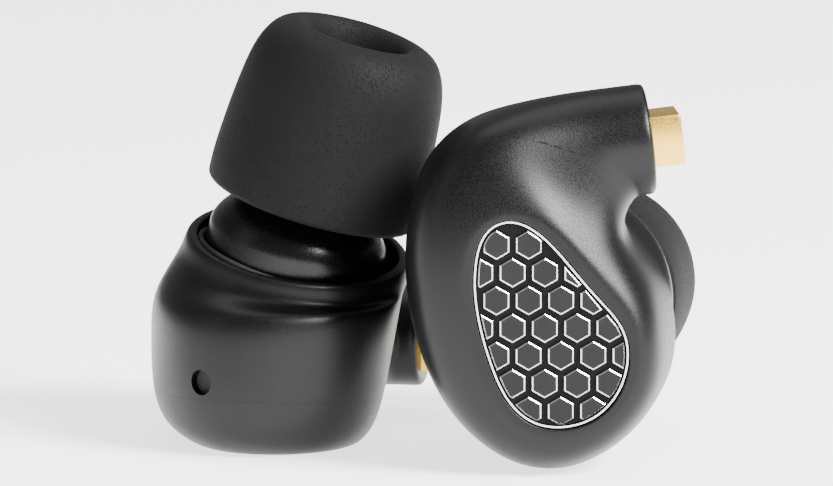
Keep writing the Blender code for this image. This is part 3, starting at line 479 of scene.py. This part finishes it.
hollow = bmesh.new()
loft(hollow, [
    at_depth(grow(WINDOW_OUTLINE, -1.5), FLOOR_DEPTH), at_depth(grow(WINDOW_OUTLINE, 0.3), FLOOR_DEPTH),
    belt(3.0, WALL + 0.1, 0.0), belt(5.1, WALL, 0.0), belt(6.9, WALL, 0.0),
    hoop(RIM_CENTRE - NOZZLE_DIRECTION * 3.4, NOZZLE_DIRECTION, 4.6)])
seal_groove = bmesh.new()
seal_rows = [first_ring(seal_groove, at_depth(grow(HOUSING_OUTLINE, FIT - SEAL_INSET, SEAL_DRIFT), -FIT))]
groove_inner = -SEAL_INSET - SEAL_WIDTH - FIT
for depth, inset in ((0.5, FIT - SEAL_INSET), (0.5, groove_inner), (-FIT, groove_inner)):
    points = at_depth(grow(HOUSING_OUTLINE, inset, SEAL_DRIFT), depth)
    seal_rows.append(draw_on(seal_groove, seal_rows[-1], points))
bmesh.ops.bridge_loops(seal_groove, edges=[edge for edge in seal_groove.edges if edge.is_boundary])
bmesh.ops.transform(seal_groove, matrix=joint_pose, verts=seal_groove.verts)

throat = rod(THROAT_RADIUS, -4.0, 0.0, nozzle_pose, 48)
driver_bore = rod(DRIVER_BORE_RADIUS, -6.4, -2.5, nozzle_pose, 48)
pocket = block(SOCKET_SIZE + Vector((0.0, 2 * FIT, 2 * FIT)),
               stem_pose @ Matrix.Translation((SOCKET_PROUD - SOCKET_SIZE.x / 2 - FIT, 0.0, 0.0)), 0.12)
channel_start = STEM_END - stem_along * (SOCKET_SIZE.x - SOCKET_PROUD - 0.6)
channel_way = Vector((-0.6, 4.6, STEM_END.z)) - channel_start
channel = rod(CHANNEL_RADIUS, 0.0, channel_way.length, aligned(channel_start, channel_way), 24)
vent_hole = rod(VENT_RADIUS, -2.6, 2.0, vent_pose, 48)
far = 60.0
below = block((far, far, far), joint_pose @ Matrix.Translation((0.0, 0.0, (JOINT_GAP - far) / 2)))
above = block((far, far, far), joint_pose @ Matrix.Translation((0.0, 0.0, (far - JOINT_GAP) / 2)))
face_shell = carve(housing.copy(), above, hollow.copy())
back_shell = carve(housing, below, hollow, throat, driver_bore, pocket, channel, vent_hole, seal_groove)
set_down(face_shell, "face_shell", "earpiece", "blasted_gunmetal", gunmetal)
set_down(back_shell, "back_shell", "earpiece", "blasted_gunmetal", gunmetal)


# Seal of the joint. A black rubber cord lies in a groove all round the joint of the shells, where
# the lid presses it flat. It stays as the CAD solid, because the closed shells hide it.
def smooth_finish(name, metallic, roughness, colour, grain, depth, change=0.2):
    """A plain finish with a fine grain in its tone, gloss and relief."""
    material, shader, place = new_finish(name, metallic, roughness, colour)
    spots = place.speckle(grain)
    low = [value * (1.0 - change) for value in colour] + [1.0]
    high = [min(1.0, value * (1.0 + change)) for value in colour] + [1.0]
    feed(shader, Base_Color=spots.tint(low, high),
         Roughness=spots.between(0.3, 0.7, roughness - 0.06, roughness + 0.06),
         Normal=relief(spots, depth, 0.5))
    return material


def dress(node, material):
    """Give the CAD solids of both sides a finish."""
    for side in STANCES:
        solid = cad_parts[f"{side}_{node}"]
        solid.data.materials.clear()
        solid.data.materials.append(material)


rubber = smooth_finish("black_rubber", 0.0, 0.7, (0.012, 0.012, 0.013), 0.0002, 0.00001)
dress("shell_seal", rubber)


# Filter of the rear vent. A disc of fine black cloth is glued across the hole in the back shell, a
# little below the surface, so that air passes and dust doesn't.
def cloth_finish(name, metallic, roughness, thread, gap, pitch, pose):
    """Woven threads over dark gaps, laid square to a disc's own axis."""
    material, shader, place = new_finish(name, metallic, roughness, thread)
    turned = (STANCES["left"] @ pose).to_euler()
    flat = place.node("ShaderNodeMapping", {"vector_type": "TEXTURE"},
                      {"Vector": place, "Rotation": tuple(turned)}, 0)
    threads = {"Vector": flat, "Scale": 0.314 / pitch}
    waves = [flat.node("ShaderNodeTexWave", {"bands_direction": way}, threads, 1) for way in ("X", "Y")]
    weave = waves[0] * waves[1]
    feed(shader, Base_Color=weave.tint((*thread, 1.0), (*gap, 1.0)),
         Roughness=weave.between(0.0, 1.0, roughness, min(1.0, roughness + 0.3)),
         Normal=relief(1.0 - weave, 0.00002, 0.8))
    return material


FILTER_DEPTH = 0.55
FILTER_THICKNESS = 0.2
vent_cloth = cloth_finish("vent_cloth", 0.0, 0.8, (0.02, 0.02, 0.021), (0.002, 0.002, 0.002), 0.00012,
                          vent_pose)
vent_filter = rod(VENT_RADIUS - 0.01, -FILTER_DEPTH - FILTER_THICKNESS, -FILTER_DEPTH, vent_pose, 48)
set_down(vent_filter, "vent_filter", "earpiece", "steel_mesh", vent_cloth)


# Inlay of the face. A thin plate of dark anodised metal lies in the recess. Raised pads stand on it
# in a honeycomb, and their edges and the plate's border are cut bright with a diamond tool.
PLATE_TOP = RECESS_DEPTH - FIT - 0.6
PAD_RADIUS = 0.84
PAD_GAP = 0.4
PAD_RISE = 0.18
PAD_CHAMFER = 0.07
BORDER = 0.2
FIELD_REACH = 12.0
CLIP_REACH = 2.6
SMALLEST_PAD = 0.35
SHORTEST_SIDE = 0.06

inlay_dark = blasted_metal("inlay_floor", 0.008, 0.5, 0.00012)
inlay_pad = blasted_metal("inlay_pad", 0.022, 0.42, 0.00008)
cut_bright = smooth_finish("cut_bright_edge", 1.0, 0.24, (0.78, 0.79, 0.8), 0.00006, 0.000003, 0.1)


def finer(outline, steps):
    """Round an outline of sixteen points, as the shells round it."""
    count = len(outline)
    points = []
    for i in range(count):
        a, b, c, d = (outline[(i + k) % count] for k in (-1, 0, 1, 2))
        for step in range(steps):
            t = step / steps
            points.append((a * (1 - t) ** 3 + b * (3 * t ** 3 - 6 * t ** 2 + 4)
                           + c * (-3 * t ** 3 + 3 * t ** 2 + 3 * t + 1) + d * t ** 3) / 6)
    return points


def border_ring(margin, depth):
    return at_depth(finer(pushed(grow(WINDOW_OUTLINE, margin)), 8), depth)


def within(point, outline):
    """Tell whether a flat point lies inside a closed outline."""
    crossings = 0
    for a, b in zip(outline[-1:] + outline[:-1], outline):
        if (a.y > point.y) != (b.y > point.y):
            crossings += point.x < a.x + (point.y - a.y) * (b.x - a.x) / (b.y - a.y)
    return crossings % 2 == 1


inlay = bmesh.new()
row = first_ring(inlay, border_ring(-FIT, RECESS_DEPTH - FIT))
bmesh.ops.contextual_create(inlay, geom=row)
for margin, depth, bright in ((-FIT, PLATE_TOP - 0.05, 0), (-FIT - 0.03, PLATE_TOP - 0.1, 0),
                              (-FIT - 0.13, PLATE_TOP - 0.1, 2), (-FIT - BORDER, PLATE_TOP, 0)):
    known = set(inlay.faces)
    row = draw_on(inlay, row, border_ring(margin, depth))
    for face in inlay.faces:
        if face not in known:
            face.material_index = bright
bmesh.ops.contextual_create(inlay, geom=row)

field = finer(pushed(grow(WINDOW_OUTLINE, -0.3)), 3)
middle = sum(grow(WINDOW_OUTLINE, -0.4), Vector((0.0, 0.0))) / len(WINDOW_OUTLINE)
pitch = PAD_RADIUS * math.sqrt(3.0) + PAD_GAP
for line in range(-6, 7):
    for column in range(-6, 7):
        spot = middle + Vector(((column + 0.5 * (line % 2)) * pitch, line * pitch * math.sqrt(3.0) / 2))
        if (spot - middle).length > FIELD_REACH:
            continue
        pad = bmesh.new()
        bmesh.ops.create_circle(pad, cap_ends=True, segments=6, radius=PAD_RADIUS,
                                matrix=Matrix.Translation((spot.x, spot.y, PLATE_TOP + 0.1)))
        for i, corner in enumerate(field):
            along = field[(i + 1) % len(field)] - corner
            if (corner - spot).length < CLIP_REACH:
                bmesh.ops.bisect_plane(pad, geom=pad.verts[:] + pad.edges[:] + pad.faces[:], dist=0.0001,
                                       plane_co=(corner.x, corner.y, 0.0),
                                       plane_no=(along.y, -along.x, 0.0), clear_outer=True)
        cap = next(iter(pad.faces), None)
        if not cap or not within(cap.calc_center_median(), field) or cap.calc_area() < SMALLEST_PAD:
            pad.free()
            continue
        bmesh.ops.remove_doubles(pad, verts=pad.verts[:], dist=SHORTEST_SIDE)
        lid = bmesh.ops.extrude_face_region(pad, geom=pad.faces[:])["geom"]
        corners = [item for item in lid if isinstance(item, bmesh.types.BMVert)]
        top = [item for item in lid if isinstance(item, bmesh.types.BMFace)]
        bmesh.ops.translate(pad, verts=corners, vec=(0.0, 0.0, -0.1 - PAD_RISE))
        bmesh.ops.recalc_face_normals(pad, faces=pad.faces[:])
        edges = bmesh.ops.inset_region(pad, faces=top, thickness=PAD_CHAMFER, depth=PAD_CHAMFER * 0.8,
                                       use_even_offset=True)["faces"]
        for face in top:
            face.material_index = 1
        for face in edges:
            face.material_index = 2
        pad_mesh = bpy.data.meshes.new("pad")
        pad.to_mesh(pad_mesh)
        pad.free()
        inlay.from_mesh(pad_mesh)
        bpy.data.meshes.remove(pad_mesh)
set_down(inlay, "face_inlay", "earpiece", "inlay_metal", inlay_dark, inlay_pad, cut_bright, sharp=20.0)


# Nozzle. It is turned from aluminium, blasted finer than the shells and anodised darker. Its domed
# foot stands in the rim with a groove all round, and its spout ends in a barb that holds the tip.
NECK_RADIUS = 2.95
NECK_HEIGHT = 3.0
FOOT_RADIUS = 5.45
SPOUT_RADIUS = 2.6
SPOUT_TOP = 7.6
SPOUT_BORE = 1.9
BARB = 0.26
FOOT_WALL = 0.85
MESH_SEAT = 2.15
MESH_DEPTH = 0.37
DOME_STEPS = 13
DOME_SWELL = 1.9

satin_dark = blasted_metal("dark_satin_metal", 0.022, 0.27, 0.00006)


def spun(profile, pose, steps=96):
    """Spin a profile of radius and height once round its axis."""
    bm = bmesh.new()
    corners = [bm.verts.new((radius, 0.0, height)) for radius, height in profile]
    edges = [bm.edges.new(pair) for pair in zip(corners, corners[1:] + corners[:1])]
    bmesh.ops.spin(bm, geom=corners + edges, cent=(0.0, 0.0, 0.0), axis=(0.0, 0.0, 1.0),
                   dvec=(0.0, 0.0, 0.0), angle=math.tau, steps=steps, use_merge=True,
                   use_duplicate=False)
    bmesh.ops.remove_doubles(bm, verts=bm.verts[:], dist=0.0005)
    bmesh.ops.transform(bm, matrix=pose, verts=bm.verts)
    return bm


dome = []
for step in range(DOME_STEPS):
    share = 1.0 - step / DOME_STEPS
    dome.append((NECK_RADIUS + (FOOT_RADIUS - NECK_RADIUS) * (1.0 - share ** DOME_SWELL),
                 NECK_HEIGHT * share))
nozzle = spun([
    (SPOUT_RADIUS - 0.15, SPOUT_TOP), (SPOUT_RADIUS - 0.04, SPOUT_TOP - 0.04),
    (SPOUT_RADIUS, SPOUT_TOP - 0.15), (SPOUT_RADIUS + BARB, SPOUT_TOP - 1.1),
    (SPOUT_RADIUS + BARB, SPOUT_TOP - 1.3), (SPOUT_RADIUS, SPOUT_TOP - 1.6),
    (SPOUT_RADIUS, NECK_HEIGHT + 0.3), *dome, (FOOT_RADIUS, 0.0), (FOOT_RADIUS, FIT - LEDGE_DEPTH),
    (FOOT_RADIUS - FOOT_WALL, FIT - LEDGE_DEPTH), (FOOT_RADIUS - FOOT_WALL, -0.6),
    (2.2, NECK_HEIGHT - 0.7), (SPOUT_BORE, NECK_HEIGHT), (SPOUT_BORE, SPOUT_TOP - MESH_DEPTH),
    (MESH_SEAT, SPOUT_TOP - MESH_DEPTH), (MESH_SEAT, SPOUT_TOP)], nozzle_pose)
front_vent_pose = (nozzle_pose @ Matrix.Translation((0.0, 0.0, -0.6))
                   @ Matrix.Rotation(math.radians(-17.0), 4, "Z")
                   @ Matrix.Rotation(math.radians(60.0), 4, "Y"))
front_vent = rod(0.3, 2.6, 8.0, front_vent_pose, 32)
set_down(carve(nozzle, front_vent), "nozzle", "earpiece", "dark_satin_metal", satin_dark)


# Seal of the nozzle. A thin black rubber ring lies at the bottom of the groove between the nozzle's
# foot and the rim, and keeps sweat out of the driver.
RING_RADIUS = 0.19
RING_DEPTH = 1.2
ring_middle = (FOOT_RADIUS + RIM_BORE) / 2
ring_profile = [(ring_middle + RING_RADIUS * math.cos(math.tau * i / 16),
                 -RING_DEPTH + RING_RADIUS * math.sin(math.tau * i / 16)) for i in range(16)]
set_down(spun(ring_profile, nozzle_pose), "nozzle_seal", "earpiece", "black_rubber", rubber)


# Mesh in the mouth of the spout. A disc of woven steel wire lies in a seat at the spout's top and
# keeps wax out. It stays as the CAD disc.
steel_weave = cloth_finish("steel_weave", 1.0, 0.35, (0.4, 0.4, 0.41), (0.02, 0.02, 0.02), 0.00018,
                           nozzle_pose)
dress("nozzle_mesh", steel_weave)


# Foam tip. It is moulded from slow memory foam, which is black, matte and full of fine open pores.
# It is glued round the plastic core, and its crest rolls in to the mouth.
TIP_BASE = 2.6
TIP_LENGTH = 10.6
TIP_RADIUS = 6.4
TIP_MOUTH = 2.65
TIP_SHARES = [(0.975, 0.71), (0.92, 0.81), (0.82, 0.89), (0.68, 0.94), (0.45, 0.98), (0.2, 1.0),
              (0.05, 0.995)]
CORE_BORE = SPOUT_RADIUS + BARB + FIT
CORE_RADIUS = CORE_BORE + 0.4
CORE_BASE = TIP_BASE + 0.55
CORE_TOP = CORE_BASE + 7.6
CREST = TIP_BASE + TIP_LENGTH

foam_black, foam_shader, place = new_finish("black_foam", 0.0, 0.8, (0.005, 0.005, 0.0052))
pores, small_pores = (place.node("ShaderNodeTexVoronoi", {"feature": "F1"},
                                 {"Vector": place, "Scale": scale, "Randomness": 1.0}, "Distance")
                      for scale in (5200.0, 9500.0))
skin_grain = place.speckle(0.00012, 2.0)
patches = place.speckle(0.002, 2.0)
# Pore mask: the bump presses the pores in, and the base colour paints them near black as painted shade inside
# the open pores.
pore_depth_and_shade = pores.between(0.14, 0.3, 1.0, 0.0) * patches.between(0.35, 0.6, 0.35, 1.0)
pore_depth_and_shade = pore_depth_and_shade.math("MAXIMUM", pore_depth_and_shade, small_pores.between(0.16, 0.3, 0.7, 0.0))
soft_tone = (skin_grain * 0.6 + patches * 0.4).tint((0.0032, 0.0032, 0.0034, 1.0),
                                                    (0.0085, 0.0085, 0.0088, 1.0))
foam_shader.inputs["Specular IOR Level"].default_value = 0.1
foam_shader.inputs["Sheen Weight"].default_value = 0.012
foam_shader.inputs["Sheen Roughness"].default_value = 0.5
# Base Color mixes in near black at the pores: painted shade inside the pores, not a darker foam.
feed(foam_shader,
     Base_Color=pore_depth_and_shade.tint(soft_tone, (0.0002, 0.0002, 0.0002, 1.0)),
     Roughness=skin_grain.between(0.3, 0.7, 0.6, 0.75),
     Normal=relief(skin_grain * 0.35 - pore_depth_and_shade, 0.00006, 0.7))


def eased(profile, steps):
    """Round the run of a profile through its own points."""
    points = []
    last = len(profile) - 1
    for i in range(last):
        a, b, c, d = (Vector(profile[min(max(i + k, 0), last)]) for k in (-1, 0, 1, 2))
        for step in range(steps):
            t = step / steps
            points.append(tuple(0.5 * (2 * b + (c - a) * t + (2 * a - 5 * b + 4 * c - d) * t ** 2
                                       + (3 * b - a - 3 * c + d) * t ** 3)))
    return points + [profile[last]]


skirt = [(TIP_MOUTH, CREST - 1.8), (TIP_MOUTH, CREST - 1.3), (TIP_MOUTH + 0.25, CREST - 0.55),
         (3.25, CREST - 0.12), (3.7, CREST)]
for height, width in TIP_SHARES:
    skirt.append((TIP_RADIUS * width, TIP_BASE + TIP_LENGTH * height))
skirt += [(TIP_RADIUS - 0.12, TIP_BASE + 0.18), (TIP_RADIUS - 0.35, TIP_BASE + 0.02),
          (TIP_RADIUS - 0.8, TIP_BASE)]
foam = spun([*eased(skirt, 5), (CORE_RADIUS + 1.0, TIP_BASE), (CORE_RADIUS + FIT, TIP_BASE + 0.75),
             (CORE_RADIUS + FIT, CORE_TOP + FIT), (TIP_MOUTH, CORE_TOP + FIT)], Matrix(), 128)
for vertex in foam.verts:
    out = Vector((vertex.co.x, vertex.co.y, 0.0))
    if out.length > CORE_RADIUS + 0.5:
        vertex.co -= out.normalized() * 0.05 * (0.5 + 0.5 * noise.noise(vertex.co * 0.35))
bmesh.ops.transform(foam, matrix=nozzle_pose, verts=foam.verts)
set_down(foam, "foam_tip", "ear_tip", "black_foam", foam_black, sharp=75.0, padded=0.9)


# Core of the tip. It is a soft plastic tube that stretches over the barb of the spout. The foam is
# glued round it, and only its upper end can be seen, deep in the mouth.
plastic = smooth_finish("core_plastic", 0.0, 0.45, (0.02, 0.02, 0.022), 0.0005, 0.000005)
tip_core = spun([(CORE_RADIUS, CORE_TOP), (CORE_RADIUS, CORE_BASE), (CORE_BORE, CORE_BASE),
                 (CORE_BORE, CORE_TOP - 0.5), (CORE_BORE - 0.3, CORE_TOP)], nozzle_pose)
set_down(tip_core, "tip_core", "ear_tip", "core_plastic", plastic)


# Socket for the cable. A gold plated block stands in the end of the stem. It holds a black
# insulator with two gold plated tubes, which take the pins of the cable's plug.
TUBE_RADIUS = 0.6
TUBE_BORE = 0.39
TUBE_REACH = 2.2

gold = smooth_finish("gold_plate", 1.0, 0.3, (0.97, 0.6, 0.1), 0.00012, 0.000004, 0.04)
block_pose = stem_pose @ Matrix.Translation((SOCKET_PROUD - SOCKET_SIZE.x / 2 + FIT, 0.0, 0.0))
bore_size = Vector((SOCKET_SIZE.x * 2, SOCKET_SIZE.y - 0.8, SOCKET_SIZE.z - 0.8))
set_down(carve(block(SOCKET_SIZE, block_pose, 0.12, 3), block(bore_size, block_pose, 0.08, 2)),
         "socket_block", "earpiece", "gold_plate", gold)
core_pose = stem_pose @ Matrix.Translation((SOCKET_PROUD - SOCKET_SIZE.x / 2 + FIT - 0.05, 0.0, 0.0))
lines = {label: core_pose @ Matrix.Translation((0.0, 0.0, offset))
         @ Matrix.Rotation(math.radians(90.0), 4, "Y")
         for label, offset in (("positive", 1.0), ("negative", -1.0))}
insulator = block((SOCKET_SIZE.x - 0.3, bore_size.y - 2 * FIT, bore_size.z - 2 * FIT), core_pose, 0.06, 2)
set_down(carve(insulator, *[rod(TUBE_RADIUS + FIT, -6.0, 6.0, line, 32) for line in lines.values()]),
         "socket_insulator", "earpiece", "core_plastic", plastic)
for label, line in lines.items():
    tube = spun([(TUBE_RADIUS - 0.04, TUBE_REACH), (TUBE_RADIUS, TUBE_REACH - 0.06),
                 (TUBE_RADIUS, -TUBE_REACH), (TUBE_BORE, -TUBE_REACH), (TUBE_BORE, TUBE_REACH - 0.08),
                 (TUBE_BORE + 0.04, TUBE_REACH)], line, 32)
    set_down(tube, f"contact_{label}", "earpiece", "gold_plate", gold)


# Driver. A moving coil driver hangs under the ledge on the nozzle's axis: a film diaphragm with its
# copper coil, a magnet between iron plates in a nickel plated case, and a small terminal board. All
# of it, and the ring that holds it up, is hidden in the housing and stays as CAD solids.
nickel = smooth_finish("nickel", 1.0, 0.3, (0.45, 0.44, 0.42), 0.0004, 0.000004, 0.08)
for node in ("driver_cover", "driver_frame", "yoke", "magnet", "pole_plate"):
    dress(node, nickel)
dress("driver_retainer", gunmetal)
dress("voice_coil", smooth_finish("copper_winding", 1.0, 0.35, (0.6, 0.25, 0.1), 0.00015, 0.00002, 0.25))
dress("diaphragm", smooth_finish("membrane_film", 0.0, 0.25, (0.5, 0.42, 0.25), 0.001, 0.00001, 0.12))
dress("terminal_board", smooth_finish("board_green", 0.0, 0.4, (0.02, 0.12, 0.05), 0.0008, 0.000005, 0.3))


# Leads. Two enamelled copper wires run from the board through the channel in the stem to the open
# backs of the tubes, where they are soldered. They are hidden and stay as CAD solids.
enamel = smooth_finish("wire_enamel", 0.6, 0.3, (0.45, 0.12, 0.05), 0.0003, 0.000004)
dress("wire_positive", enamel)
dress("wire_negative", enamel)
